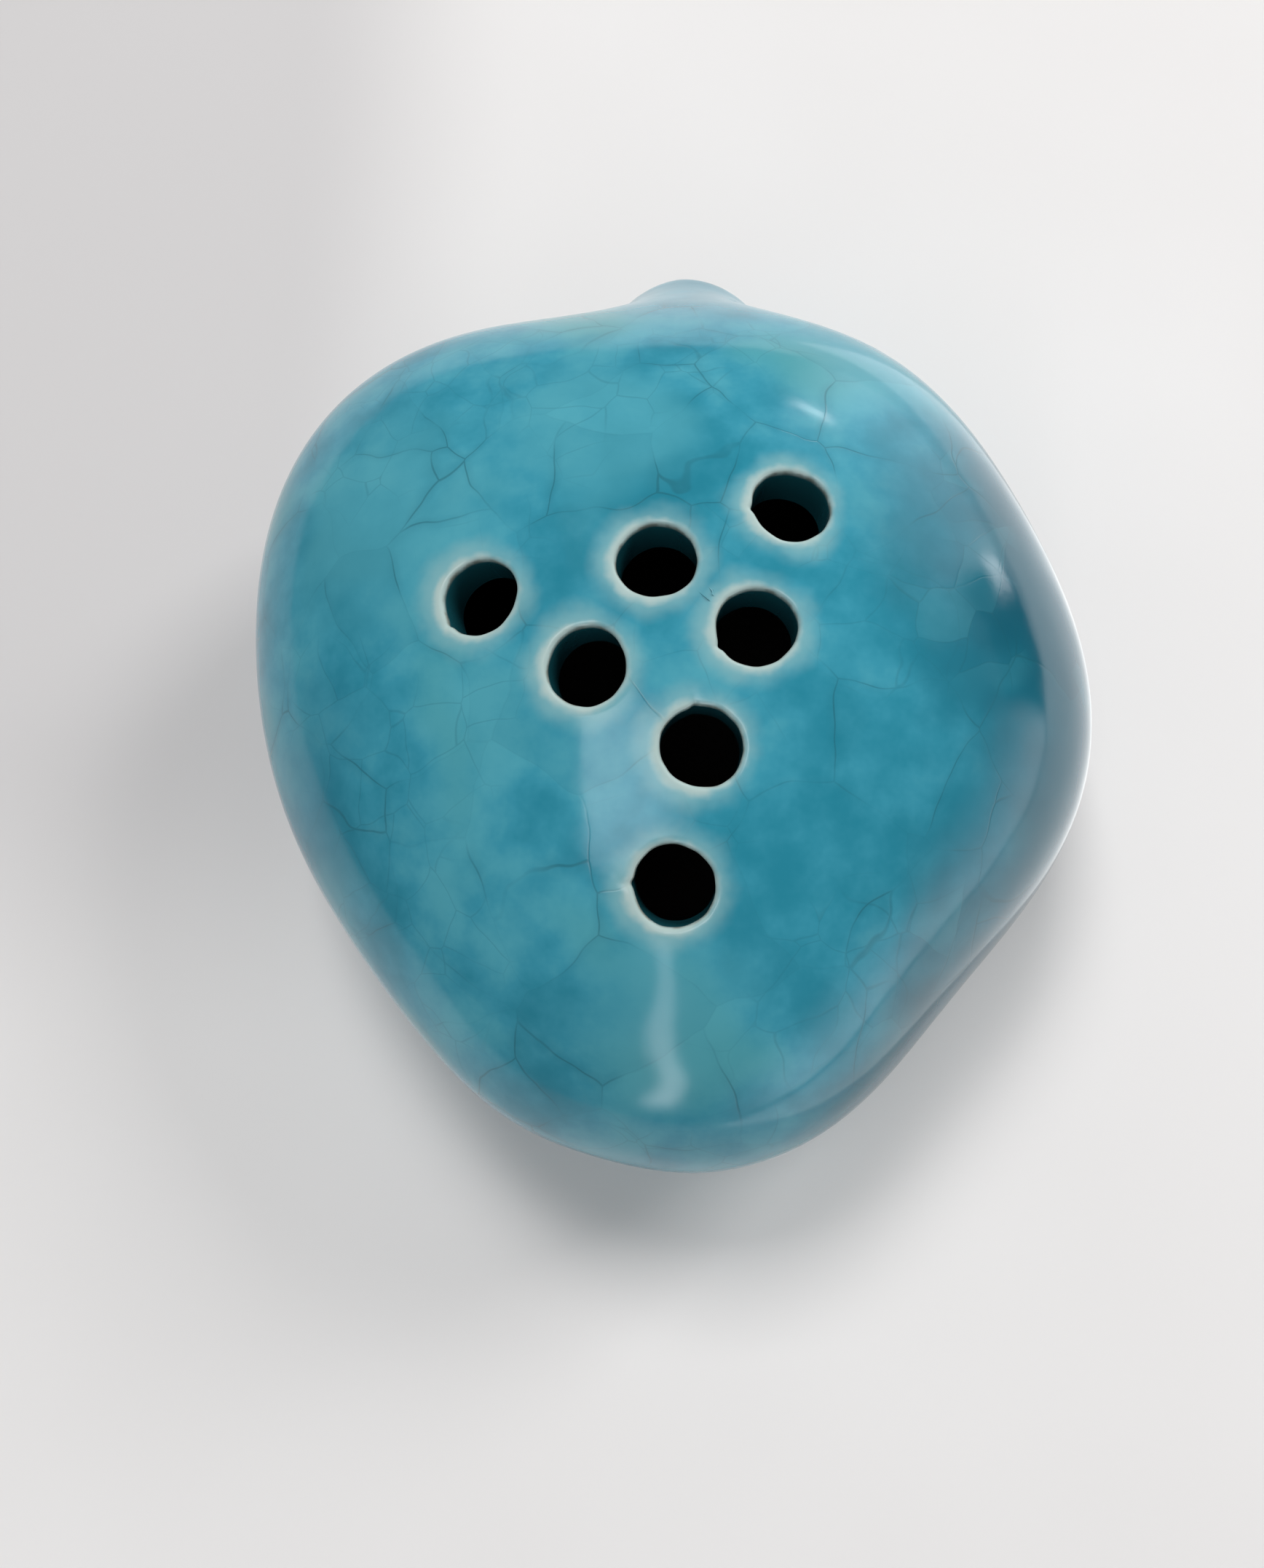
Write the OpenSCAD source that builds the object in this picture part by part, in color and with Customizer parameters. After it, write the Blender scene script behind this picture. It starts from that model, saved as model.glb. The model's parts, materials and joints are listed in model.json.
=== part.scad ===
// Hand-built clay ocarina: a hollow, glazed vessel flute with seven finger holes.
// It lies on its foot with the finger holes up. +Y runs from the tip to the mouthpiece.

/* [Body outline] */
// Mean radius of the clay body, seen from above
body_radius = 38.1; // [36:0.1:41]
// Oval stretch added to the outline
oval = 1.8; // [0:0.1:2.5]
// Direction of the oval stretch, in degrees
oval_at = -62; // [-80:1:-45]
// Height of the three rounded corners above the mean outline
corners = 1.9; // [0:0.1:2.5]
// Direction of the first corner, in degrees
corners_at = 25; // [15:1:35]
// Height of the four-fold unevenness
square = 0.5; // [0:0.1:1]
// Direction of the four-fold unevenness, in degrees
square_at = -18; // [-45:1:45]
// Height of the five-fold unevenness
pinch = 0.9; // [0:0.1:1.2]
// Direction of the five-fold unevenness, in degrees
pinch_at = -14; // [-36:1:36]
// Swelling to the right of the tip
tip_swell = 1.0; // [0:0.1:1.5]
// Dent to the left of the tip
tip_dent = 0.7; // [0:0.1:1]

/* [Body section] */
// Height of the seam between the two shells above the table
seam_height = 16; // [15:0.1:17]
// Rise of the face above the seam
face_rise = 20.8; // [18:0.1:24]
// Depth of the back below the seam, before the foot is flattened
back_depth = 17; // [16.5:0.1:18]
// Fullness of the domes, where 2 is an ellipse and more is fuller
fullness = 2.2; // [2:0.05:2.4]
// Thickness of the clay wall
wall = 4; // [3.5:0.1:4.5]
// Thickness of the glaze
glaze = 0.4; // [0.2:0.05:0.5]

/* [Finger holes] */
// Radius of a finger hole inside the glaze
hole_radius = 3.1; // [2.6:0.05:3.4]
// Top row, left hole
hole_1 = [-11.7, 2.9]; // [-14:0.1:14]
// Top row, middle hole
hole_2 = [2.4, 5]; // [-14:0.1:14]
// Top row, right hole
hole_3 = [12.9, 9.7]; // [-14:0.1:14]
// Second row, left hole
hole_4 = [-3, -3.4]; // [-14:0.1:14]
// Second row, right hole
hole_5 = [10, -0.6]; // [-14:0.1:14]
// Third row
hole_6 = [5.7, -9.8]; // [-14:0.1:14]
// Hole nearest the tip
hole_7 = [3.4, -20.1]; // [-24:0.1:14]

/* [Mouthpiece] */
// Distance of the mouth end from the centre of the foot
mouth_y = 46.8; // [46:0.1:50]
// Offset of the mouthpiece to the right
mouth_x = 2.6; // [-2:0.1:3]
// Width of the mouth end
mouth_width = 15; // [14:0.1:18]
// Height of the mouth end
mouth_height = 7.4; // [7:0.1:8.5]
// Setback of the sides of the mouth end behind its middle
mouth_bow = 3.0; // [0:0.1:4.5]
// Rise of the mouthpiece's top towards the body
mouth_slope = 1.03; // [0.8:0.01:1.1]
// Extra half width at the root of the mouthpiece
root_spread = 4; // [2:0.1:5]
// Width of the airway
airway_width = 10; // [8:0.1:11]
// Height of the airway
airway_height = 1.4; // [1:0.05:1.8]
// Height of the airway's floor above the table
airway_z = 5.9; // [5.6:0.05:6.2]

/* [Sound window] */
// Distance from the centre of the foot to the sharp edge
edge_y = 23; // [22:0.1:24]
// Height of the sharp edge above the table
edge_z = 6.5; // [6.2:0.05:6.8]
// Length of the window along the airway
window_length = 5; // [4.5:0.1:5.5]
// Width of the window
window_width = 11; // [10:0.1:12]
// Angle of the ramp that leads up to the edge
ramp_angle = 32; // [30:1:36]

/* [Joining coils] */
// Radius of the coil pressed into the seam from inside
coil_radius = 2.4; // [1.8:0.1:3]
// Spread of the coil that blends the mouthpiece into the body
blend = 6; // [4:0.1:7]

/* [Hidden] */
segments = 60;
rings = 10;
cavity_segments = 40;
cavity_rings = 7;
$fn = 48;
bare_foot = 0.8;
bore_radius = hole_radius + glaze;
holes = [hole_1, hole_2, hole_3, hole_4, hole_5, hole_6, hole_7];
airway_top = airway_z + airway_height;
mouth_z = airway_z + airway_height / 2;
root = 21;
under_face = 14;
mouth_reach = [0, 0.3, 1, 2.2, 4, 6.5, 9.5, under_face, 17, root];

// The outline of the body as a radius in each direction
function wave(count, size, at, angle) = size * cos(count * (angle - at));
function swelling(size, at, sharpness, angle) = size * exp(sharpness * (cos(angle - at) - 1));
function outline(angle) = body_radius
    + wave(2, oval, oval_at, angle)
    + wave(3, corners, corners_at, angle)
    + wave(4, square, square_at, angle)
    + wave(5, pinch, pinch_at, angle)
    + swelling(tip_swell, -67, 27, angle)
    - swelling(tip_dent, -96, 60, angle);

// A point of the body, grown outward by g. The latitude runs from -90 at the foot to 90 on the face
function rise(lat, g) = (lat < 0 ? -back_depth - g : face_rise + g) * pow(sin(abs(lat)), 2 / fullness);
function body_point(lat, angle, g) =
    let (r = (outline(angle) + g) * cos(lat))
    [r * cos(angle), r * sin(angle), seam_height + rise(lat, g)];
function body_ring(lat, g, n) = [for (i = [0 : n - 1]) body_point(lat, i * 360 / n, g)];

// Height of the clay face over the table, and the outward direction there
function face_z(p) =
    let (r = norm(p) / outline(atan2(p[1], p[0])))
    seam_height + face_rise * pow(1 - r * r, 1 / fullness);
function face_slope(p, step) = (face_z(p + step) - face_z(p - step)) / (2 * norm(step));
function face_normal(p) =
    let (n = [-face_slope(p, [0.1, 0]), -face_slope(p, [0, 0.1]), 1])
    n / norm(n);

// Shape of the mouthpiece at a distance d from its mouth end: half width, underside and top. The top
// climbs straight to the face, then stays under it
function lip(d) = d < 2.2 ? 0.62 + 0.38 * sqrt(1 - pow(1 - d / 2.2, 2)) : 1;
function lip_z(d) = d < 1 ? 0.8 * (1 - sqrt(1 - pow(1 - d, 2))) : 0;
function mouth_half_width(d) = (mouth_width / 2 + root_spread * pow(d / root, 1.4)) * lip(d);
function mouth_bottom(d) = mouth_z - mouth_height / 2 + lip_z(d) + 1.7 * pow(d / root, 4);
function climb(d) = mouth_slope * min(d, under_face) + 0.55 * max(d - under_face, 0);
function mouth_top(d) = mouth_z + mouth_height / 2 - lip_z(d) + climb(d);
function bow(x, d) = mouth_bow * pow(abs(x) / (mouth_width / 2), 1.7) * (1 - d / root);
function squircle(n) = [for (i = [0 : n - 1])
    let (c = cos(i * 360 / n), s = sin(i * 360 / n))
    [-sign(c) * pow(abs(c), 0.7), sign(s) * pow(abs(s), 0.8)]];
function mouth_ring(d, g, w, bottom, top) = [for (p = squircle(32))
    [mouth_x + w * p[0], mouth_y + g - d - bow(w * p[0], d), (bottom + top) / 2 + (top - bottom) / 2 * p[1]]];

// Faces between two of a list of rings with n points each
function band(i, j, k, n) = [
    [k * n + i, (k + 1) * n + i, (k + 1) * n + j],
    [k * n + i, (k + 1) * n + j, k * n + j]];

module rings_solid(list)
{
    n = len(list[0]);
    m = len(list);
    sides = [for (k = [0 : m - 2]) for (i = [0 : n - 1]) each band(i, (i + 1) % n, k, n)];
    first = [for (i = [0 : n - 1]) i];
    last = [for (i = [n - 1 : -1 : 0]) (m - 1) * n + i];
    polyhedron([for (ring = list) each ring], concat(sides, [first, last]));
}

// A loft through the rings of the mouthpiece, whose bowed outer end closes on a middle point
module mouth_solid(list)
{
    n = len(list[0]);
    m = len(list);
    end = list[m - 1];
    middle = [mouth_x, max([for (p = end) p[1]]), (min([for (p = end) p[2]]) + max([for (p = end) p[2]])) / 2];
    sides = [for (k = [0 : m - 2]) for (i = [0 : n - 1]) each band(i, (i + 1) % n, k, n)];
    first = [for (i = [0 : n - 1]) i];
    last = [for (i = [0 : n - 1]) [(m - 1) * n + (i + 1) % n, (m - 1) * n + i, m * n]];
    polyhedron(concat([for (ring = list) each ring], [middle]), concat(sides, [first], last));
}

module body(g)
{
    rings_solid([for (k = [-rings : rings]) body_ring(k * 88 / rings, g, segments)]);
}

module half_body(g, side)
{
    latitudes = side > 0 ? [0 : rings] : [-rings : 0];
    rings_solid([for (k = latitudes) body_ring(k * 88 / rings, g, segments)]);
}

module cavity()
{
    count = cavity_rings;
    rings_solid([for (k = [-count : count]) body_ring(k * 88 / count, -wall, cavity_segments)]);
}

module mouth_block(g)
{
    mouth_solid([for (k = [len(mouth_reach) - 1 : -1 : 0])
        let (d = mouth_reach[k])
        mouth_ring(d, g, mouth_half_width(d) + g, mouth_bottom(d) - g, mouth_top(d) + g)]);
}

module blend_block(g)
{
    mouth_solid([for (k = [len(mouth_reach) - 1 : -1 : 4])
        let (d = mouth_reach[k], spread = 0.25 + blend * pow((d - 4) / (root - 4), 1.5))
        mouth_ring(d, 0, mouth_half_width(d) + 1.6 * spread + g,
            mouth_bottom(d) - 0.3 - g + 3 * pow(d / root, 3), mouth_top(d) + 0.2 * spread + g)]);
}

module finger_bores(r)
{
    for (p = holes)
    {
        n = face_normal(p);
        translate([p[0], p[1], face_z(p)])
        rotate([0, acos(n[2]), atan2(n[1], n[0])])
        translate([0, 0, -wall * 1.8])
        cylinder(r = r, h = wall * 3);
    }
}

module airway()
{
    translate([mouth_x - airway_width / 2, edge_y + window_length - 1, airway_z])
    cube([airway_width, mouth_y, airway_height]);
}

module window_cut()
{
    ramp_end = edge_y - (edge_z + 1) / tan(ramp_angle);
    far = edge_y + window_length;
    translate([mouth_x - window_width / 2, 0, 0])
    rotate([90, 0, 90])
    linear_extrude(height = window_width)
    polygon([[edge_y, edge_z], [ramp_end, -1], [far, -1], [far, 13], [edge_y, 13]]);
}

module below(z)
{
    translate([-60, -60, z - 20])
    cube([120, 120, 20]);
}

// Upper half of the body, pierced by the finger holes
module face_shell()
{
    color([0.80, 0.72, 0.62])
    difference()
    {
        half_body(0, 1);
        cavity();
        finger_bores(bore_radius);
    }
}

// Lower half of the body, with the foot, the sound window and the end of the airway
module back_shell()
{
    color([0.76, 0.68, 0.58])
    difference()
    {
        half_body(0, -1);
        cavity();
        below(0);
        window_cut();
        airway();
    }
}

// Coil of clay that seals the seam from inside
module seam_coil()
{
    n = cavity_segments;
    m = 12;
    points = [for (i = [0 : n - 1]) for (j = [0 : m - 1])
        let (a = i * 360 / n, t = j * 360 / m, r = outline(a) - wall - coil_radius * (0.3 + cos(t)))
        [r * cos(a), r * sin(a), seam_height + coil_radius * sin(t)]];
    faces = [for (i = [0 : n - 1]) for (j = [0 : m - 1])
        let (p = i * m + j, q = (i + 1) % n * m + j, u = i * m + (j + 1) % m, v = (i + 1) % n * m + (j + 1) % m)
        each [[p, q, v], [p, v, u]]];
    color([0.72, 0.64, 0.54])
    intersection()
    {
        polyhedron(points, faces);
        cavity();
    }
}

// Lower slab of the mouthpiece, with the airway cut into its top
module mouthpiece_floor()
{
    color([0.78, 0.70, 0.60])
    difference()
    {
        mouth_block(0);
        half_body(0, -1);
        translate([-30, 0, airway_top])
        cube([60, 60, 30]);
        airway();
        window_cut();
    }
}

// Upper wedge of the mouthpiece, laid over the airway and up to the face
module mouthpiece_roof()
{
    color([0.82, 0.74, 0.64])
    difference()
    {
        mouth_block(0);
        body(0);
        below(airway_top);
    }
}

// Coil of clay smoothed round the root of the mouthpiece
module blend_coil()
{
    color([0.74, 0.66, 0.56])
    difference()
    {
        blend_block(0);
        mouth_block(0);
        body(0);
        window_cut();
    }
}

// Glassy coat over the outside and down the finger holes
module glaze_coat()
{
    color([0.20, 0.62, 0.70])
    difference()
    {
        union()
        {
            difference()
            {
                union()
                {
                    body(glaze);
                    mouth_block(glaze);
                    blend_block(glaze);
                }
                body(0);
                mouth_block(0);
                blend_block(0);
            }
            intersection()
            {
                finger_bores(bore_radius);
                body(glaze);
            }
        }
        cavity();
        finger_bores(hole_radius);
        below(bare_foot);
        window_cut();
        airway();
    }
}

face_shell();
back_shell();
seam_coil();
mouthpiece_floor();
mouthpiece_roof();
blend_coil();
glaze_coat();
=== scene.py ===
# %% [markdown]
# # A crackle-glazed clay ocarina
# An ocarina is a small clay flute shaped like a pod: air from the mouthpiece sounds the hollow
# inside, and the fingers close holes in its face to change the note. The clay parts come from the
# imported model. What the eye mostly sees is the glaze over them, so that is what gets modelled here:
# one smooth glassy skin with seven finger holes, and a finish with its pale rims and fine cracks.

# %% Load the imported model
import json
import math
import bmesh
import bpy
import numpy as np
from mathutils import Matrix, Vector


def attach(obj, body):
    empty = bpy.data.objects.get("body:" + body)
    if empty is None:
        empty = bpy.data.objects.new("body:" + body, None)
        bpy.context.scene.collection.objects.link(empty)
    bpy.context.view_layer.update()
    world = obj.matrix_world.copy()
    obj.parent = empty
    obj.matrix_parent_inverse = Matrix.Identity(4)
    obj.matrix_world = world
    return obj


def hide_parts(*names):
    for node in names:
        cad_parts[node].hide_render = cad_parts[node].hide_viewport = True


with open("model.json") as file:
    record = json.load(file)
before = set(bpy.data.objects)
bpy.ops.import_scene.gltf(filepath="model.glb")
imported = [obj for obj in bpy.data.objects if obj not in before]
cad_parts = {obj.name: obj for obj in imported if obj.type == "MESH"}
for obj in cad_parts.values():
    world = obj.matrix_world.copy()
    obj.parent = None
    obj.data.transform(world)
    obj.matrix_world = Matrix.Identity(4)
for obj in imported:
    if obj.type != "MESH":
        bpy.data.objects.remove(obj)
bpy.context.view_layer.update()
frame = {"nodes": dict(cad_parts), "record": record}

MM = 0.001

# %% [markdown]
# The body is a ball pulled to a rounded, uneven outline. The outline is a mean radius with a few
# waves added round it, and the face and the back rise from the seam on fuller curves than an
# ellipse. Working from the same few numbers as the clay keeps the glaze lying on it.

# %% Describe the body's form
SEAM, FACE_RISE, BACK_DEPTH, FULLNESS = 16 * MM, 20.8 * MM, 17 * MM, 2.2
GLAZE = 0.35 * MM
MEAN_RADIUS = 38.1
# waves round the outline: how many, size in mm, direction in degrees
WAVES = ((2, 1.8, -62), (3, 1.9, 25), (4, 0.5, -18), (5, 0.9, -14))
# local swells of the outline: sharpness, size in mm, direction in degrees
SWELLS = ((27, 1.0, -67), (60, -0.7, -96))


def outline(angle):
    """Radius of the clay body in a direction round the Z axis, with the tip leaning to one side."""
    waves = sum(size * np.cos(n * (angle - math.radians(at))) for n, size, at in WAVES)
    swells = sum(size * np.exp(sharp * (np.cos(angle - math.radians(at)) - 1))
                 for sharp, size, at in SWELLS)
    return MM * (MEAN_RADIUS + waves + swells)


def on_body(ball, grow):
    """Moves points of a unit ball to the body, grown outward by grow."""
    x, y, z = ball.T
    reach = outline(np.arctan2(y, x)) + grow
    rise = np.where(z > 0, FACE_RISE, BACK_DEPTH) + grow
    return np.stack([x * reach, y * reach, SEAM + np.sign(z) * rise * np.abs(z) ** (2 / FULLNESS)], 1)


def outside(points, grow):
    """Above 0 outside the body, below 0 inside it."""
    x, y, z = points.T
    rise = np.where(z > SEAM, FACE_RISE, BACK_DEPTH) + grow
    reach = outline(np.arctan2(y, x)) + grow
    return (x * x + y * y) / reach**2 + (np.abs(z - SEAM) / rise) ** FULLNESS - 1


SLIDE, HALVINGS = 12 * MM, 30


def land(points, outward, grow):
    """Slides each point along a direction until it lies on the body, by halving the gap."""
    near, far = np.full(len(points), -SLIDE), np.full(len(points), SLIDE)
    for _ in range(HALVINGS):
        middle = (near + far) / 2
        out = outside(points + middle[:, None] * outward, grow) > 0
        near, far = np.where(out, near, middle), np.where(out, middle, far)
    return points + near[:, None] * outward


holes = [(np.array(m["pos_m"]), np.array(m["axis"]), m["dims"]["r_mm"] * MM)
         for m in frame["record"]["mounts"] if m["kind"] == "bore"]
print("finger holes:", len(holes), "of radius", holes[0][2] / MM, "mm")

# %% [markdown]
# A ball made from a cube has no poles, so its grid is even on the crown, where the finger holes
# are. The cube is subdivided, every corner is pushed out to a ball, and the ball is set on the body.

# %% Make the skin's base from a cube
CUTS = 59
# the cube's grid is spread by this angle, so that its faces come out even on the ball
EVEN = math.radians(40)


def enter_edit(obj, kind):
    """Opens one mesh for editing with nothing selected."""
    bpy.ops.object.select_all(action="DESELECT")
    bpy.context.view_layer.objects.active = obj
    obj.select_set(True)
    bpy.ops.object.mode_set(mode="EDIT")
    bpy.ops.mesh.select_mode(type=kind)
    bpy.ops.mesh.select_all(action="DESELECT")


bpy.ops.object.select_all(action="DESELECT")
bpy.ops.mesh.primitive_cube_add(size=2, location=(0, 0, 0))
skin = bpy.context.active_object
skin.name = skin.data.name = "glaze_skin"
enter_edit(skin, "FACE")
bpy.ops.mesh.select_all(action="SELECT")
bpy.ops.mesh.subdivide(number_cuts=CUTS)
bpy.ops.object.mode_set(mode="OBJECT")
corners = np.empty(len(skin.data.vertices) * 3)
skin.data.vertices.foreach_get("co", corners)
corners = np.tan(corners.reshape(-1, 3) * EVEN) / math.tan(EVEN)
ball = corners / np.linalg.norm(corners, axis=1)[:, None]
skin.data.vertices.foreach_set("co", on_body(ball, GLAZE).ravel())
skin.data.attributes.new("depth", "FLOAT", "POINT")
print("base faces:", len(skin.data.polygons))

# %% [markdown]
# Each opening is made as by hand: the faces over it are deleted, the stepped edge left behind is cut
# finer, and that edge is extruded ring by ring, over the rim and down the wall. Extruding keeps one
# continuous skin, so the light runs over the rims without a break.

# %% A helper that extrudes an opening through rings
SMOOTHED_SHARE = 12


def walk(edges):
    """The points of a closed border, in order round it."""
    links = {}
    for edge in edges:
        a, b = edge.verts
        links.setdefault(a, []).append(b)
        links.setdefault(b, []).append(a)
    assert all(len(near) == 2 for near in links.values()), "the border branches"
    loop = [edges[0].verts[0]]
    for _ in range(len(edges) - 1):
        near = links[loop[-1]]
        loop.append(near[1] if len(loop) > 1 and near[0] == loop[-2] else near[0])
    return loop


def spread_turns(loop, angle):
    """The loop's angles, evened out until they rise all the way round."""
    turned = np.unwrap([angle(v.co) for v in loop])
    even = 2 * np.pi * np.arange(len(loop)) / len(loop)
    off = turned - even
    window = len(loop) // SMOOTHED_SHARE
    padded = np.concatenate([off[-window:], off, off[:window]])
    return even + np.convolve(padded, np.ones(2 * window + 1) / (2 * window + 1), "valid")


def open_up(obj, chosen, near, angle, rings, depths, cuts):
    """Deletes the chosen faces and extrudes their border through rings, each a function of angle."""
    enter_edit(obj, "FACE")
    mesh = bmesh.from_edit_mesh(obj.data)
    inside = chosen(np.array([v.co for v in mesh.verts]))
    mesh.verts.index_update()
    for face in mesh.faces:
        face.select_set(any(inside[v.index] for v in face.verts))
    bpy.ops.mesh.delete(type="FACE")
    bpy.ops.mesh.select_mode(type="EDGE")
    mesh = bmesh.from_edit_mesh(obj.data)
    for edge in mesh.edges:
        edge.select_set(edge.is_boundary and bool(near(edge.verts[0].co)))
    bpy.ops.mesh.subdivide(number_cuts=cuts)
    mesh = bmesh.from_edit_mesh(obj.data)
    for edge in mesh.edges:
        if not edge.is_boundary:
            edge.select_set(False)
    border = [edge for edge in mesh.edges if edge.is_boundary and bool(near(edge.verts[0].co))]
    for edge in border:
        edge.select_set(True)
    loop = walk(border)
    if np.unwrap([angle(v.co) for v in loop])[-1] < angle(loop[0].co):
        loop.reverse()
    turns = spread_turns(loop, angle)
    for ring, depth in zip(rings, depths):
        order = {tuple(v.co): i for i, v in enumerate(loop)}
        bpy.ops.mesh.extrude_edges_move()
        mesh = bmesh.from_edit_mesh(obj.data)
        layer = mesh.verts.layers.float["depth"]
        loop = sorted((v for v in mesh.verts if v.select), key=lambda v: order[tuple(v.co)])
        for vert, place in zip(loop, ring(turns)):
            vert.co = place
            vert[layer] = depth
        bmesh.update_edit_mesh(obj.data)
    bpy.ops.object.mode_set(mode="OBJECT")
    return len(loop)


# %% Open the seven finger holes
RIM = 0.42 * MM
WALL = 4.1 * MM
# the skin keeps a flat ring round the rim, and the faces over the hole go a little past it
FLAT, CLEARED, AROUND = 0.5 * MM, 0.75 * MM, 3.4 * MM
CHIP_WIDTH, CHIP_REACH, CHIP_DEPTH = 0.10, 0.9, 0.3
# where a chip left the rim: hole, direction in degrees, size in mm
CHIPS = {0: (218, 0.22), 2: (186, 0.16), 4: (208, 0.20), 5: (100, 0.16), 6: (176, 0.2)}


def finger_hole(number, centre, axis, radius):
    """The rings of one finger hole, from the open surface over the rim and down the wall."""
    across = np.cross([0, 1, 0], axis)
    across /= np.linalg.norm(across)
    along = np.cross(axis, across)
    top = land(centre[None], axis, GLAZE)[0]
    at, size = CHIPS.get(number, (0, 0))
    seed = 1.7 * number

    def ring(turns, r, drop, wobble):
        uneven = 1 + wobble * (0.016 * np.sin(2 * turns + seed)
                               + 0.012 * np.sin(3 * turns + 2 * seed)
                               + 0.007 * np.sin(5 * turns + 3 * seed)
                               + 0.004 * np.sin(11 * turns + seed))
        off = np.angle(np.exp(1j * (turns - math.radians(at))))
        chip = wobble * size * MM * np.exp(-(off / CHIP_WIDTH) ** 2)
        r = r * uneven + CHIP_REACH * chip
        flat = top + (r * np.cos(turns))[:, None] * across + (r * np.sin(turns))[:, None] * along
        return land(flat, axis, GLAZE) - (drop + CHIP_DEPTH * chip)[:, None] * axis

    # radius, drop below the surface and share of the wobble, ring by ring
    steps = [(radius + RIM + FLAT, 0, 0), (radius + RIM, 0, 1)]
    steps += [(radius + RIM * (1 - math.sin(a)), RIM * (1 - math.cos(a)), 1)
              for a in np.radians([22, 45, 67, 90])]
    steps += [(radius, 1.2 * MM, 0.8), (radius, 2.4 * MM, 0.6), (radius, WALL, 0.5)]
    rings = [lambda turns, s=s: ring(turns, *s) for s in steps]
    depths = [s[1] / MM for s in steps]

    def off_axis(p):
        return np.linalg.norm(np.cross(np.array(p) - top, axis), axis=-1)

    def angle(p):
        q = np.array(p) - top
        return math.atan2(q @ along, q @ across)

    return (lambda p: (p[:, 2] > SEAM) & (off_axis(p) < radius + RIM + CLEARED),
            lambda p: off_axis(p) < radius + AROUND and (np.array(p) - top) @ axis > -2 * MM,
            angle, rings, depths)


for number, (centre, axis, radius) in enumerate(holes):
    count = open_up(skin, *finger_hole(number, centre, axis, radius), cuts=3)
    print("finger hole", number + 1, "has", count, "points round it")

# %% [markdown]
# The mouthpiece is a short beak. Its top climbs straight up to the face, so seen from the front the
# body just seems to be drawn out to a blunt point. Its rings are worked out from the mouth end, and
# a smooth curve carries each point from the last ring to the body, leaving both without a crease.

# %% The beak's sections
# the middle of the mouth end in mm, and the beak's length to its root
BEAK_X, BEAK_Y, BEAK_Z, ROOT = 2.6, 46.8, 6.6, 21
MOUTH_HALF, MOUTH_LOW, MOUTH_HIGH = 7.5, 2.9, 10.3
CLIMB, LIP = 1.03, 2.2
GLAZED = GLAZE / MM
# where the curves from the body reach the beak, and how far the mouth end's sides lie back
FROM_RING = 2.5
BOW = 3.0


def bow(x, d):
    """How far the sides of a ring lie behind its middle."""
    return BOW * (np.abs(x) / MOUTH_HALF) ** 1.7 * (1 - d / ROOT)


def beak_ring(turns, d):
    """The ring at a distance d in mm from the mouth end."""
    lip = 0.62 + 0.38 * math.sqrt(1 - (1 - min(d, LIP) / LIP) ** 2)
    edge = 0.8 * (1 - math.sqrt(1 - (1 - min(d, 1)) ** 2))
    spread = 0.25 * min(1, d / 4) ** 2 + 6 * (max(d - 4, 0) / 17) ** 1.5
    width = (MOUTH_HALF + 4 * (d / ROOT) ** 1.4) * lip + 1.6 * spread + GLAZED
    keel = 1.7 * (d / ROOT) ** 4 + 3 * (d / ROOT) ** 3 - 0.3 * min(1, d / 4) ** 2
    low = MOUTH_LOW + edge + keel - GLAZED
    high = MOUTH_HIGH - edge + CLIMB * d + 0.2 * spread + GLAZED
    c, s = np.cos(turns), np.sin(turns)
    x = width * np.sign(c) * np.abs(c) ** 0.7
    z = (low + high) / 2 + (high - low) / 2 * np.sign(s) * np.abs(s) ** 0.8
    return MM * np.stack([BEAK_X + x, BEAK_Y + GLAZED - d - bow(x, d), z], 1)


# %% The beak's root on the body and the curve between
ROOT_WIDE, ROOT_LOW, ROOT_HIGH = 20.5, 4.2, 28.4
ROOT_MID = (ROOT_LOW + ROOT_HIGH) / 2
FORWARD = np.array([0.0, 1.0, 0.0])


def root_ring(turns):
    """The ring on the body where the beak starts to rise."""
    c, s = np.cos(turns), np.sin(turns)
    x = BEAK_X + ROOT_WIDE * np.sign(c) * np.abs(c) ** 0.8
    z = ROOT_MID + (ROOT_HIGH - ROOT_LOW) / 2 * np.sign(s) * np.abs(s) ** 0.8
    return land(MM * np.stack([x, np.full(len(x), 30.0), z], 1), FORWARD, GLAZE)


def normals(points):
    """Outward normals of the body at points on it."""
    step = 0.05 * MM
    slopes = np.stack([outside(points + step * axis, GLAZE) - outside(points - step * axis, GLAZE)
                       for axis in np.eye(3)], 1)
    return slopes / np.linalg.norm(slopes, axis=1)[:, None]


def curve_ring(turns, s):
    """A ring a share s of the way along the curves from the body to the beak."""
    start, end = root_ring(turns), beak_ring(turns, FROM_RING)
    across = end - start
    length = np.linalg.norm(across, axis=1)[:, None]
    normal = normals(start)
    leave = across - (across * normal).sum(1)[:, None] * normal
    leave /= np.linalg.norm(leave, axis=1)[:, None]
    arrive = beak_ring(turns, FROM_RING - 0.5) - end
    arrive /= np.linalg.norm(arrive, axis=1)[:, None]
    h = (2 * s**3 - 3 * s**2 + 1, s**3 - 2 * s**2 + s, s**3 - s**2, 3 * s**2 - 2 * s**3)
    return h[0] * start + h[1] * length * leave + h[2] * length * arrive + h[3] * end


# %% The mouth end and its airway
AIRWAY_HALF_WIDTH, AIRWAY_HALF_HEIGHT, AIRWAY_ROUND, AIRWAY_DEEP = 4.9, 0.62, 0.4, 1.2


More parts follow.
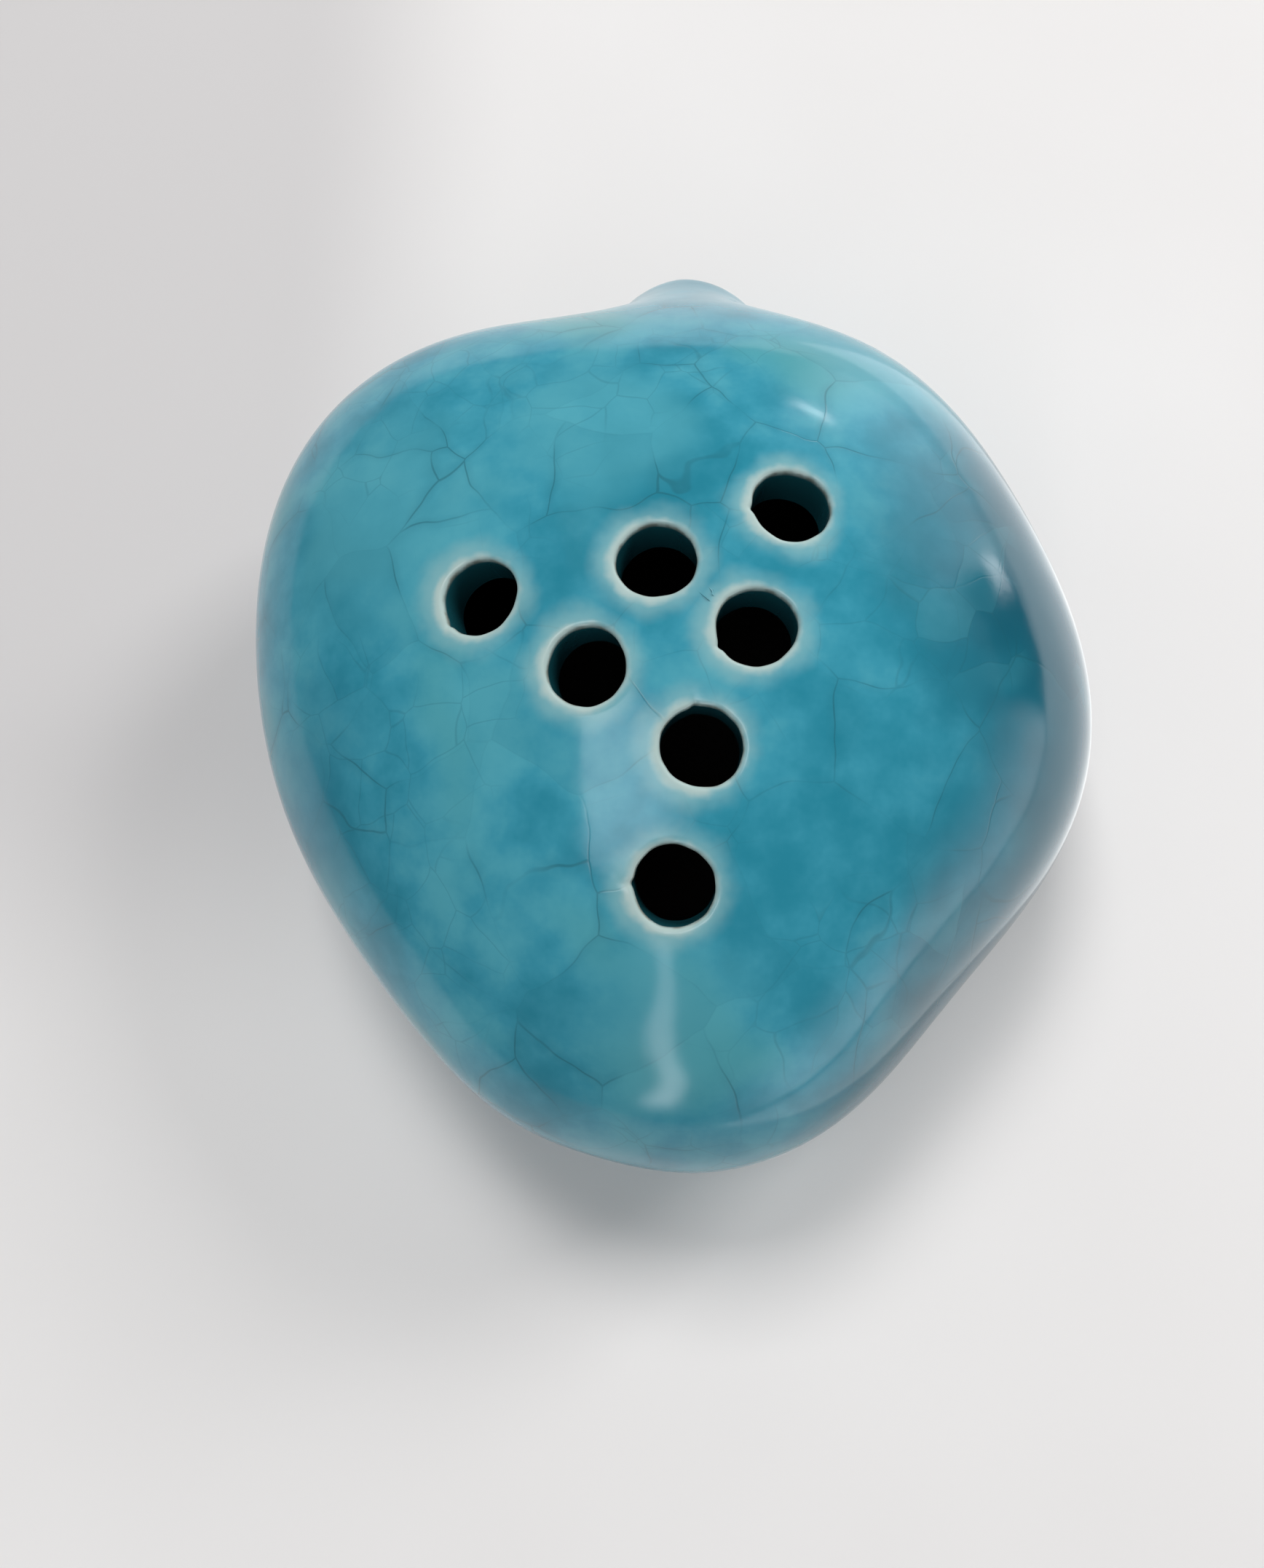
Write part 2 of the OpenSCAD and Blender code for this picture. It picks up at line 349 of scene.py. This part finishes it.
def airway_ring(turns, grow, back):
    """A ring of the airway's opening, on the bowed mouth end or a distance behind it."""
    c, s = np.cos(turns), np.sin(turns)
    x = (AIRWAY_HALF_WIDTH + grow) * np.sign(c) * np.abs(c) ** 0.35
    z = (AIRWAY_HALF_HEIGHT + grow) * np.sign(s) * np.abs(s) ** 0.6
    return MM * np.stack([BEAK_X + x, BEAK_Y + GLAZED - bow(x, 0) - back, BEAK_Z + z], 1)


def end_ring(turns, s):
    """A ring on the bowed mouth end, a share s of the way from the lip to the airway."""
    place = (1 - s) * beak_ring(turns, 0) + s * airway_ring(turns, AIRWAY_ROUND, 0)
    place[:, 1] = MM * (BEAK_Y + GLAZED - bow(place[:, 0] / MM - BEAK_X, 0))
    return place


# %% Grow the beak
beak = [root_ring] + [lambda t, s=s: curve_ring(t, s) for s in np.linspace(0, 1, 16)[1:]]
beak += [lambda t, d=d: beak_ring(t, d) for d in (2.0, 1.5, 1, 0.65, 0.35, 0.15, 0.04, 0)]
beak += [lambda t, s=s: end_ring(t, s) for s in (0.15, 0.4, 0.7, 1)]
beak += [lambda t, grow=AIRWAY_ROUND * (1 - math.sin(a)), back=AIRWAY_ROUND * (1 - math.cos(a)):
         airway_ring(t, grow, back) for a in np.radians([30, 60, 90])]
beak += [lambda t: airway_ring(t, 0, AIRWAY_DEEP)]


MOUTH_SIDE = 15 * MM


def beside_root(x, z):
    """A point's place across the root ring, 1 on the ring at the sides, top and bottom."""
    return (x / MM - BEAK_X) / ROOT_WIDE, (z / MM - ROOT_MID) / ((ROOT_HIGH - ROOT_LOW) / 2)


def under_root(p):
    """Whether points lie inside the root ring or just outside it."""
    x, z = beside_root(p[:, 0], p[:, 2])
    return (p[:, 1] > MOUTH_SIDE) & (abs(x / 1.05) ** 2.5 + abs(z / 1.06) ** 2.5 < 1)


def root_angle(p):
    """A point's direction across the root ring, matched to the ring's squarish shape."""
    x, z = beside_root(p[0], p[2])
    return math.atan2(math.copysign(abs(z) ** 1.25, z), math.copysign(abs(x) ** 1.25, x))


no_depth = [0] * len(beak)
count = open_up(skin, under_root, lambda p: p[1] > MOUTH_SIDE, root_angle, beak, no_depth, cuts=1)
print("beak has", count, "points round it and", len(beak), "rings")

# %% [markdown]
# A potter wipes the foot clean so that the piece doesn't stick to the kiln shelf, so the glaze stops
# just above the table. The skin then gets its thickness, and a block cuts the sound window under it.

# %% Trim the foot and thicken the glaze
WIPED, THICKNESS = 0.8 * MM, 0.3 * MM
enter_edit(skin, "FACE")
bpy.ops.mesh.select_all(action="SELECT")
bpy.ops.mesh.bisect(plane_co=(0, 0, WIPED), plane_no=(0, 0, 1), clear_inner=True)
bpy.ops.object.mode_set(mode="OBJECT")


def apply(obj, kind, **settings):
    """Adds a modifier with these settings and applies it."""
    bpy.ops.object.select_all(action="DESELECT")
    bpy.context.view_layer.objects.active = obj
    obj.select_set(True)
    modifier = obj.modifiers.new(kind.lower(), kind)
    for name, value in settings.items():
        setattr(modifier, name, value)
    bpy.ops.object.modifier_apply(modifier=modifier.name)


apply(skin, "SOLIDIFY", thickness=THICKNESS, offset=-1)
print("skin faces with both sides:", len(skin.data.polygons))

# %% Cut the sound window with a block whose back slopes up to the sharp edge
EDGE_Y, EDGE_Z, RAMP = 23 * MM, 6.5 * MM, math.radians(32)
WINDOW_WIDE, WINDOW_LONG, BLOCK_TALL = 11 * MM, 5 * MM, 14 * MM
BLOCK_MIDDLE = 5 * MM
CREASE = math.radians(60)
bpy.ops.object.select_all(action="DESELECT")
middle = (BEAK_X * MM, EDGE_Y + WINDOW_LONG / 2, BLOCK_MIDDLE)
bpy.ops.mesh.primitive_cube_add(size=1, location=middle)
block = bpy.context.active_object
enter_edit(block, "VERT")
bpy.ops.mesh.select_all(action="SELECT")
bpy.ops.transform.resize(value=(WINDOW_WIDE, WINDOW_LONG, BLOCK_TALL))
mesh = bmesh.from_edit_mesh(block.data)
for vert in mesh.verts:
    vert.select_set(vert.co.y < 0 and vert.co.z < 0)
bpy.ops.transform.translate(value=(0, -(EDGE_Z + 2 * MM) / math.tan(RAMP), 0))
bpy.ops.object.mode_set(mode="OBJECT")
for vert in block.data.vertices:
    if vert.co.y < 0 and vert.co.z > 0:
        vert.co.z = EDGE_Z - BLOCK_MIDDLE
apply(skin, "BOOLEAN", object=block, operation="DIFFERENCE", solver="EXACT")
bpy.data.objects.remove(block)
bpy.ops.object.shade_smooth_by_angle(angle=CREASE)
triangles = sum(len(face.vertices) - 2 for face in skin.data.polygons)
print("skin faces:", len(skin.data.polygons), "triangles:", triangles)

# %% Put the skin in the model
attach(skin, "root")
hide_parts("glaze_coat")

# %% [markdown]
# Shader maths reads best as plain sums. This small class wraps a socket, so that adding or
# multiplying two of them adds the Math node that does it.

# %% A class for shader maths


class Wire:
    """An output socket that can be used in a sum."""

    def __init__(self, tree, socket):
        self.tree, self.socket = tree, socket

    def node(self, kind, out=0, inputs=None, **settings):
        """Adds a node with settings and inputs, and returns one of its outputs."""
        made = self.tree.nodes.new(kind)
        for name, value in settings.items():
            if name == "stops":
                ramp = made.color_ramp
                for at, _ in value[2:]:
                    ramp.elements.new(at)
                for element, (at, tone) in zip(ramp.elements, value):
                    element.position = at
                    element.color = (*tone, 1)
            else:
                setattr(made, name, value)
        for name, value in (inputs or {}).items():
            if isinstance(value, Wire):
                self.tree.links.new(value.socket, made.inputs[name])
            else:
                made.inputs[name].default_value = value
        return Wire(self.tree, made.outputs[out])

    def math(self, operation, *values):
        inputs = dict(enumerate((self, *values)))
        return self.node("ShaderNodeMath", operation=operation, inputs=inputs)

    def __add__(self, other):
        return self.math("ADD", other)

    __radd__ = __add__

    def __mul__(self, other):
        return self.math("MULTIPLY", other)

    __rmul__ = __mul__

    def __sub__(self, other):
        return self.math("SUBTRACT", other)

    def __rsub__(self, other):
        return self.node("ShaderNodeMath", operation="SUBTRACT", inputs={0: other, 1: self})

    def __truediv__(self, other):
        return self.math("DIVIDE", other)

    def __pow__(self, other):
        return self.math("POWER", other)

    def __abs__(self):
        return self.math("ABSOLUTE")

    def step(self, start, end):
        """Goes smoothly from 0 at start to 1 at end."""
        return self.node("ShaderNodeMapRange", interpolation_type="SMOOTHSTEP", clamp=True, inputs={
            "Value": self, "From Min": start, "From Max": end, "To Min": 0.0, "To Max": 1.0})

    def mix(self, colour, factor):
        """Mixes a colour into this one."""
        inputs = {0: factor, 6: self, 7: colour}
        return self.node("ShaderNodeMix", out=2, data_type="RGBA", inputs=inputs)

    def vector(self, operation, other=None, out=0, **more):
        inputs = {0: self, **({1: other} if other is not None else {}), **more}
        return self.node("ShaderNodeVectorMath", out=out, operation=operation, inputs=inputs)

    def noise(self, scale, detail=2.0, rough=0.5, out=0):
        return self.node("ShaderNodeTexNoise", out=out, inputs={
            "Vector": self, "Scale": scale, "Detail": detail, "Roughness": rough})


def new_finish(name):
    """A material with its shader, and the position on the object in millimetres."""
    finish = bpy.data.materials.new(name)
    finish.use_nodes = True
    tree = finish.node_tree
    shader = tree.nodes["Principled BSDF"]
    place = Wire(tree, tree.nodes.new("ShaderNodeTexCoord").outputs["Object"])
    place = place.node("ShaderNodeVectorMath", operation="SCALE", inputs={0: place, "Scale": 1 / MM})
    return finish, tree, shader, place


# %% [markdown]
# The glaze is deep turquoise, mottled where it lies thicker or thinner. It runs thin at the rim of
# each finger hole and turns cream there. As it cooled it crazed: fine curved cracks part it into
# cells, and each cell has a slightly different tone.

# %% The glaze's mottled colour
THICK_TONE = (0.015, 0.222, 0.308)
MIDDLE_TONE = (0.038, 0.290, 0.392)
THIN_TONE = (0.080, 0.368, 0.455)
SEA_GREEN = (0.062, 0.290, 0.305, 1)
glaze, tree, shader, place = new_finish("turquoise_glaze")
cloudy = (place.noise(0.050, 3.0, 0.55) * 0.60 + place.noise(0.16, 4.0, 0.6) * 0.40).step(0.37, 0.62)
colour = place.node("ShaderNodeValToRGB", inputs={0: cloudy}, stops=[
    (0.0, THICK_TONE), (0.5, MIDDLE_TONE), (1.0, THIN_TONE)])
colour = colour.mix(SEA_GREEN, place.noise(0.05, 2.0).step(0.54, 0.72) * 0.6)

# %% Pools where it ran thick or stayed thin, and painted shade on the right flank
RAGGED = 9
# tone, strength, and the pools themselves: middle and size in mm
POOLS_AND_RIGHT_SHADE = (
    # the first, dark pools on the right flank are partly thick glaze and partly painted shade that
    # darkens that side
    ((0.008, 0.080, 0.120, 1), 0.90, ((36, 6, 18, 26), (38, -14, 14, 26), (27, -32, 16, 19))),
    ((0.012, 0.150, 0.230, 1), 0.45, ((-24, -8, 22, 13), (-28, 14, 18, 10))),
    ((0.085, 0.365, 0.440, 1), 0.60, ((-19, 11, 30, 13), (22, 27, 20, 13), (-2, 16, 33, 10),
                                      (2, -29, 26, 10), (-24, -18, 20, 8))),
)


def pool(x, y, z, size):
    """1 in the middle of a pool of glaze, fading out over its ragged edge."""
    far = place.vector("DISTANCE", (x, y, z), out=1)
    return 1 - (far + (place.noise(0.13, 2.0) - 0.5) * RAGGED).step(size * 0.45, size)


for tone, strength, spots in POOLS_AND_RIGHT_SHADE:
    for spot in spots:
        colour = colour.mix(tone, pool(*spot) * strength)

# %% Its cracks
LONG_CELL, FINE_CELL = 9.5, 4.6
CRACK_TONE = (0.012, 0.085, 0.110, 1)


def wander(scale, detail, size):
    """A shift in mm that changes slowly over the surface, to bend the cracks."""
    centred = place.noise(scale, detail, out=1).vector("SUBTRACT", (0.5, 0.5, 0.5))
    return centred.node("ShaderNodeVectorMath", operation="SCALE", inputs={0: centred, "Scale": size})


warped = place.vector("ADD", wander(0.06, 2.0, 8.0)).vector("ADD", wander(0.28, 1.0, 1.0))


def crack_cells(shift, size):
    """Distance in mm to the edge of the nearest crack cell, and a random tone for the cell."""
    moved = warped.vector("ADD", shift)
    edge = moved.node("ShaderNodeTexVoronoi", feature="DISTANCE_TO_EDGE", inputs={
        "Vector": moved, "Scale": 1 / size})
    cell = moved.node("ShaderNodeTexVoronoi", out=1, inputs={"Vector": moved, "Scale": 1 / size})
    return edge * size, cell.node("ShaderNodeSeparateColor", inputs={0: cell})


long_edge, long_tone = crack_cells((0, 0, 0), LONG_CELL)
fine_edge, fine_tone = crack_cells((31, 7, 3), FINE_CELL)
strong = place.noise(0.13, 2.0).step(0.42, 0.64)
patchy = place.noise(0.08, 2.0).step(0.46, 0.62)
cracks = ((1 - long_edge.step(0.02, 0.10)) * (0.12 + 0.88 * strong)).math(
    "MAXIMUM", (1 - fine_edge.step(0.01, 0.08)) * patchy * 0.5)
stain = (1 - long_edge.step(0.0, 0.8)) * strong
colour = colour.mix((0.014, 0.170, 0.235, 1), long_tone.step(0.35, 0.9) * 0.16)
colour = colour.mix((0.085, 0.360, 0.430, 1), fine_tone.step(0.55, 0.95) * patchy * 0.14)
colour = colour.mix((0.010, 0.130, 0.180, 1), stain * 0.18)
colour = colour.mix(CRACK_TONE, cracks * 0.42)

# %% Its thin cream rims at the finger holes
PALE_HALO, CREAM = (0.250, 0.470, 0.490, 1), (0.520, 0.600, 0.550, 1)
# the second colour is painted shade for the walls of the holes
TOASTED, SHADE_DOWN_THE_WALL = (0.170, 0.135, 0.090, 1), (0.010, 0.085, 0.105, 1)
HOLE_RADIUS = holes[0][2] / MM
# the glaze ran thin a little to one side of every hole
THIN_SIDE = np.array([-0.30, -0.10, 0])
away = None
for centre, axis, radius in holes:
    from_centre = place.vector("SUBTRACT", tuple(centre / MM + THIN_SIDE))
    reach = from_centre.vector("CROSS_PRODUCT", tuple(axis)).vector("LENGTH", out=1)
    away = reach if away is None else away.math("MINIMUM", reach)
face_side = place.node("ShaderNodeSeparateXYZ", out=2, inputs={0: place}).step(20.0, 24.0)
halo_edge = away + (place.noise(0.22, 3.0) - 0.5) * 3.4
halo = (1 - halo_edge.step(HOLE_RADIUS, HOLE_RADIUS + 2.5)) * face_side
colour = colour.mix(PALE_HALO, halo * 0.72)
rim_edge = away + (place.noise(0.7, 2.0) - 0.5) * 0.9
rim = (1 - rim_edge.step(HOLE_RADIUS, HOLE_RADIUS + 0.9)) * face_side
colour = colour.mix(CREAM, rim * 0.72)

# %% Its toasted edge, and painted shade down the walls of the holes
depth = place.node("ShaderNodeAttribute", out="Fac", attribute_name="depth")
toasted = depth.step(0.05, 0.30) * place.noise(0.7, 2.0).step(0.40, 0.62)
colour = colour.mix(TOASTED, toasted * 0.6)
# painted shade: the glaze turns near black-teal further down each hole's wall
colour = colour.mix(SHADE_DOWN_THE_WALL, depth.step(0.26, 0.75))
tree.links.new(colour.socket, shader.inputs["Base Color"])

# %% Its gloss and its gentle waves
rough = 0.07 + 0.10 * place.noise(0.35, 3.0)
tree.links.new(rough.socket, shader.inputs["Roughness"])
shader.inputs["IOR"].default_value = 1.5
height = place.noise(0.09, 2.0) * 0.45 + place.noise(0.8, 2.0) * 0.012 - cracks * 0.010
bump = place.node("ShaderNodeBump", inputs={"Height": height, "Strength": 0.35, "Distance": 1 * MM})
tree.links.new(bump.socket, shader.inputs["Normal"])
skin.data.materials.clear()
skin.data.materials.append(glaze)
print("glaze nodes:", len(tree.nodes))

# %% [markdown]
# The bare clay shows only on the foot and in the sound window. It is a buff body with dark specks.
# Everything above its lowest couple of millimetres is painted nearly black: painted shade for the dim
# inside, where little light gets in, so that the holes look black.

# %% The clay
BUFF_DARK, BUFF_PALE = (0.36, 0.25, 0.16), (0.62, 0.50, 0.37)
# the second colour is painted shade, nearly black, for the clay inside the body
SPECK, PAINTED_SHADE_BLACK = (0.10, 0.06, 0.04, 1), (0.004, 0.003, 0.003, 1)
clay, tree, shader, place = new_finish("fired_clay")
grain = place.noise(1.6, 5.0, 0.65)
colour = place.node("ShaderNodeValToRGB", inputs={0: grain}, stops=[
    (0.30, BUFF_DARK), (0.72, BUFF_PALE)])
specks = place.noise(4.0, 2.0).step(0.70, 0.76)
colour = colour.mix(SPECK, specks * 0.7)
level = place.node("ShaderNodeSeparateXYZ", out=2, inputs={0: place})
# painted shade: all clay higher than the foot is painted nearly black
colour = colour.mix(PAINTED_SHADE_BLACK, level.step(1.0, 2.4))
tree.links.new(colour.socket, shader.inputs["Base Color"])
tree.links.new((0.8 + 0.15 * grain).socket, shader.inputs["Roughness"])
shader.inputs["Specular IOR Level"].default_value = 0.2
height = grain * 0.10 + place.noise(0.35, 3.0) * 0.25
bump = place.node("ShaderNodeBump", inputs={"Height": height, "Strength": 0.5, "Distance": 1 * MM})
tree.links.new(bump.socket, shader.inputs["Normal"])
for name, node in frame["nodes"].items():
    if name != "glaze_coat":
        node.data.materials.clear()
        node.data.materials.append(clay)
print("clay nodes:", len(tree.nodes))

# %% [markdown]
# The studio is a plain pale floor, wide enough that its edge is far behind the piece. On the left it
# carries a patch of painted shade, so that the gloss on that side mirrors something calmer.

# %% Floor
FLOOR_SIZE = 2.4
bpy.ops.object.select_all(action="DESELECT")
bpy.ops.mesh.primitive_plane_add(size=FLOOR_SIZE, location=(0, 0, 0))
floor = bpy.context.active_object
floor.name = "studio_floor"
paper, tree, shader, place = new_finish("pale_paper")
tone = place.node("ShaderNodeValToRGB", inputs={0: place.noise(0.02, 2.0)}, stops=[
    (0.3, (0.83, 0.800, 0.785)), (0.7, (0.86, 0.832, 0.818))])
across, along = (place.node("ShaderNodeSeparateXYZ", out=k, inputs={0: place}) for k in range(2))
# painted shade: the floor is darker towards the left and the back, where a shadow would lie
painted_shade_left = (0 - across).step(16, 46) * along.step(-34, 4)
tone = tone.mix((0.620, 0.595, 0.590, 1), painted_shade_left * 0.85)
tree.links.new(tone.socket, shader.inputs["Base Color"])
shader.inputs["Roughness"].default_value = 0.9
floor.data.materials.append(paper)

# %% [markdown]
# Gloss shows whatever stands round the piece. The room here is drawn on the world by direction: dim
# all round, with a soft box overhead, a wavering strip in front, a dark screen on the right and two
# pale walls beside and behind that only the gloss sees. The camera sees only a plain backdrop.
# Bearings are in degrees round the piece: 0 toward the tip, 90 right, 180 toward the mouthpiece.

# %% The room
room = bpy.data.worlds.new("room")
bpy.context.scene.world = room
room.use_nodes = True
tree = room.node_tree
backdrop = tree.nodes["Background"]
toward = Wire(tree, tree.nodes.new("ShaderNodeTexCoord").outputs["Generated"])
x, y, z = (toward.node("ShaderNodeSeparateXYZ", out=k, inputs={0: toward}) for k in range(3))
bearing = x.math("ARCTAN2", 0 - y) * (180 / math.pi)
height = z.math("ARCSINE") * (180 / math.pi)
above = z.math("MAXIMUM", 0.05)
left, front = x / above, y / above


def between(value, low, low_soft, high, high_soft):
    """1 between two values, fading over the given widths."""
    begun = value.step(low - low_soft, low + low_soft)
    return begun * (1 - value.step(high - high_soft, high + high_soft))


overhead = between(left, -0.315, 0.008, 0.03, 0.15) * between(front, -0.32, 0.05, 0.14, 0.03)
waver = (height * 0.22).math("SINE") * 1.6
strip = between(bearing + waver, -11, 3, -2.5, 3) * between(height, 8, 5, 60, 2)
narrow = strip * (1.35 - height / 90)
spark = between(bearing, 153, 2, 162, 2) * between(height, 20.5, 0.6, 22.5, 0.6)
glint = between(bearing, 121, 1, 126, 1) * between(height, 1, 1, 9, 2)
dark = between(bearing, 88, 6, 124, 1.5) * (1 - height.step(19, 21))
behind = between(bearing, 124, 2, 162, 9) * (1 - height.step(10, 42))
beside = between(bearing, 20, 18, 96, 4) * (1 - height.step(0, 30))
gloss = toward.node("ShaderNodeLightPath", out="Is Glossy Ray")
ahead = (0 - y).step(0.15, 0.95)
light = (0.18 + 0.06 * ahead + 1.5 * behind * gloss) * (1 - 0.93 * dark) + 2.2 * beside * gloss
light = light + overhead * 3.1 + narrow * 3.4 + spark * 9 + glint * 5
studio = light.node("ShaderNodeBackground", inputs={"Color": (0.93, 0.97, 1.0, 1), "Strength": light})
backdrop.inputs["Color"].default_value = (0.78, 0.765, 0.765, 1)
seen = light.node("ShaderNodeLightPath", out="Is Camera Ray")
behind_piece = Wire(tree, backdrop.outputs[0])
world_mix = light.node("ShaderNodeMixShader", inputs={0: seen, 1: studio, 2: behind_piece})
tree.links.new(world_mix.socket, tree.nodes["World Output"].inputs["Surface"])
print("room nodes:", len(tree.nodes))

# %% [markdown]
# Lamps give the piece its shape and its shadow. Two soft ones stand behind it and to the right, high
# enough to keep the shadow short. They light only matt colour, because the room above already draws
# what the gloss shows. A card lying on the floor at the right does the opposite.

# %% The lamps that shape the piece
MIDDLE = Vector((0, 0, 0.02))


def lamp(name, place, size, power, diffuse, gloss):
    """Adds a soft lamp facing the piece, for its matt light, its gloss or both."""
    bpy.ops.object.select_all(action="DESELECT")
    bpy.ops.object.light_add(type="AREA", location=place)
    made = bpy.context.active_object
    made.name = name
    made.data.shape = "RECTANGLE"
    made.data.size, made.data.size_y = size
    made.data.energy = power
    made.rotation_euler = (Vector(place) - MIDDLE).to_track_quat("Z", "Y").to_euler()
    made.visible_diffuse, made.visible_glossy, made.visible_camera = diffuse, gloss, False
    return made


lamp("back_lamp", (-0.10, 0.75, 1.30), (0.50, 0.50), 10.8, True, False)
lamp("right_lamp", (0.87, 0.61, 0.66), (0.45, 0.45), 7.2, True, False)
card = lamp("low_card", (0.342, -0.080, 0.001), (0.60, 0.50), 0.75, False, True)
card.rotation_euler = (math.radians(180), 0, 0)

# %% [markdown]
# The camera looks down on the face from close by, leaning a little to the right and toward the tip,
# with the mouthpiece up. Its lens is fairly wide, so the near crown looks larger than the far rim.

# %% Camera
AIM, LEAN, DISTANCE = (-2.0, -8.1, 16.0), (0.121, -0.222, 1.0), 115.9
aim = Vector(AIM) * MM
out = Vector(LEAN).normalized()
eye = aim + out * DISTANCE * MM
side = Vector((0, 1, 0)).cross(out).normalized()
bpy.ops.object.camera_add(location=eye)
camera = bpy.context.active_object
camera.name = "camera"
turn = Matrix((side, out.cross(side), out)).transposed().to_4x4()
camera.matrix_world = Matrix.Translation(eye) @ turn
camera.data.sensor_width = 36
camera.data.lens = 29.1
camera.data.clip_start, camera.data.clip_end = 0.005, 10
bpy.context.scene.camera = camera
bpy.context.scene.view_settings.view_transform = "Standard"
print("camera at", [round(v / MM, 1) for v in eye], "mm")
